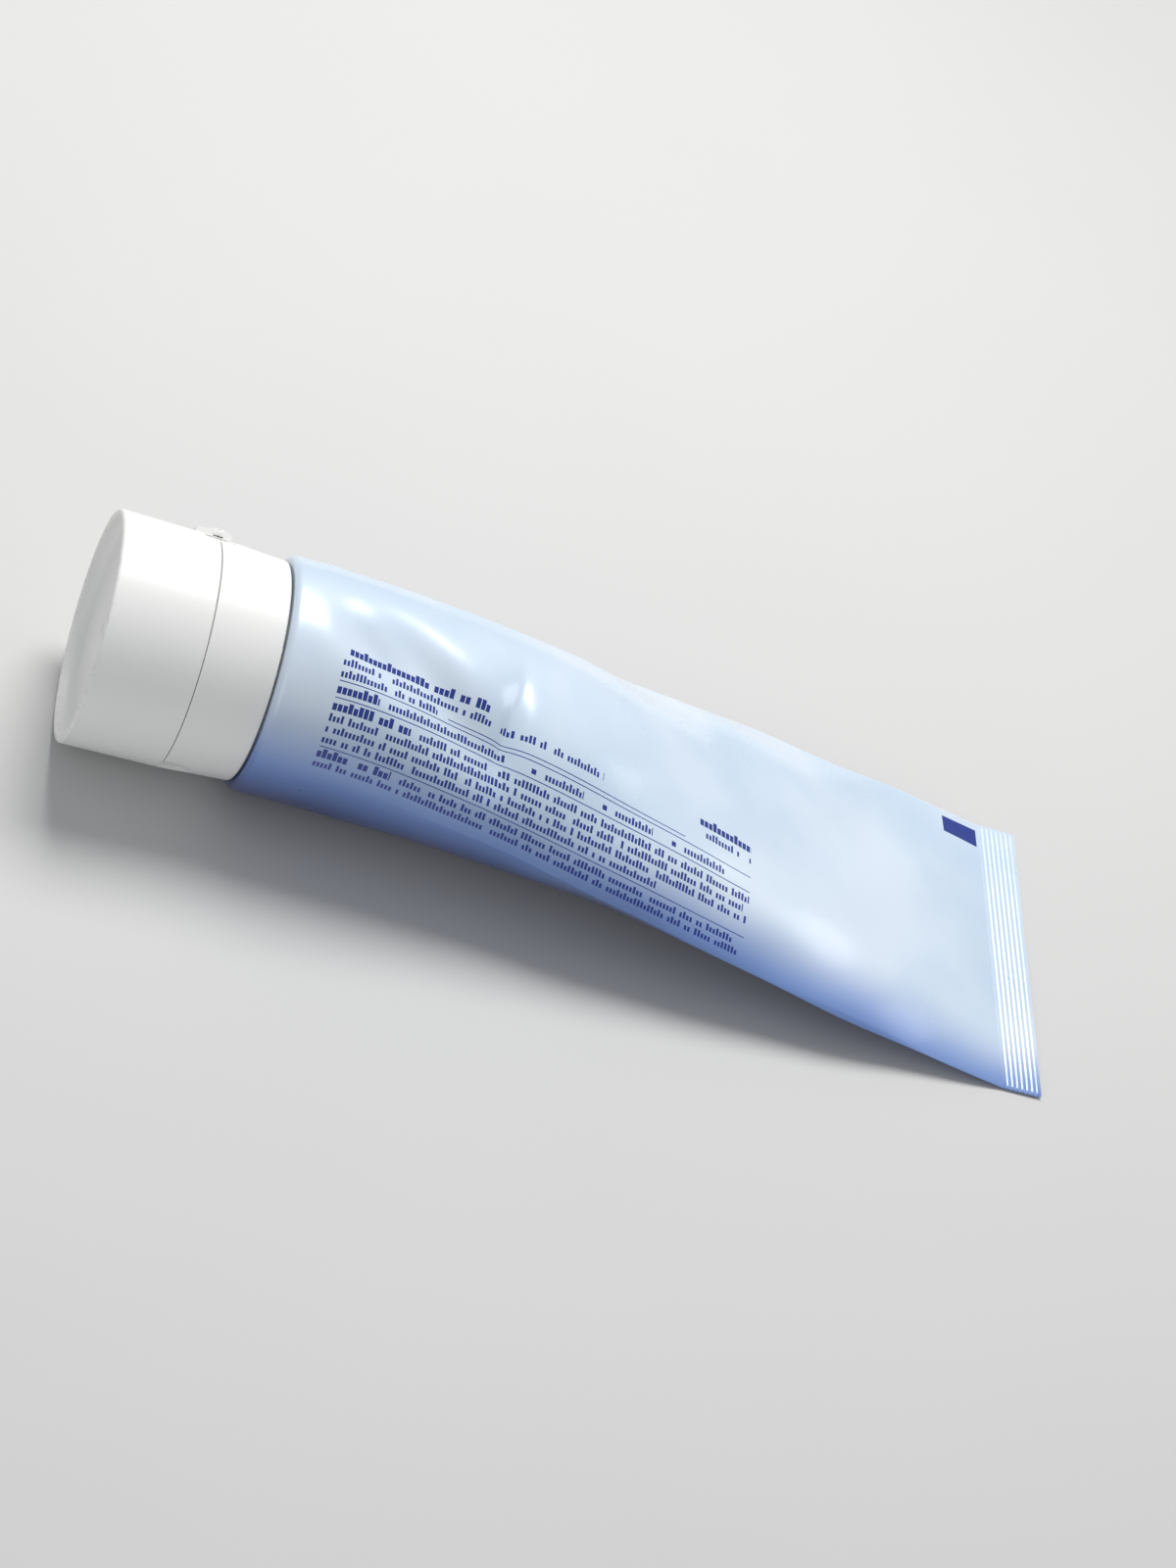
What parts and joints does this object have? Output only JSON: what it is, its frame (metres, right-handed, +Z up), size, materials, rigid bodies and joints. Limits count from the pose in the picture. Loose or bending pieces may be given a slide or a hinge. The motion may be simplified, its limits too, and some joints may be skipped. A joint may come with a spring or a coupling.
{
  "type": "shaving cream tube",
  "caption": "Soft squeeze tube lying on its side, round at the shoulder and flattened to a crimped end, with a flip-top cap on a film hinge.",
  "frame": {"origin": "on the table, below the centre of the bounding box, with the tube lying on its lower flank", "axes": "+X along the tube from the cap to the crimped end, +Y across it towards the hinge side, +Z up from the table"},
  "size_m": [0.1696, 0.059, 0.038],
  "materials": {
    "sleeve_laminate": "pale blue printed laminate, gloss varnish",
    "shoulder_plastic": "moulded, natural white",
    "insert_plastic": "moulded, satin",
    "cream": "soft white cream",
    "cap_plastic": "moulded white, satin gloss"
  },
  "bodies": {
    "tube_body": {"sleeve": "sleeve_laminate", "shoulder": "shoulder_plastic", "barrier_insert": "insert_plastic", "cream_fill": "cream", "closure_base": "cap_plastic", "hinge_film": "cap_plastic", "hinge_straps": "cap_plastic"},
    "flip_lid": {"lid": "cap_plastic"}
  },
  "joints": [
    {"name": "lid_flip", "type": "hinge", "parent": "tube_body", "child": "flip_lid", "pos_m": [-0.06897, 0.016, 0.02979], "axis": [0, 0.5592, -0.829], "range_deg": [0, 175], "deforming": ["hinge_film", "hinge_straps"]}
  ]
}
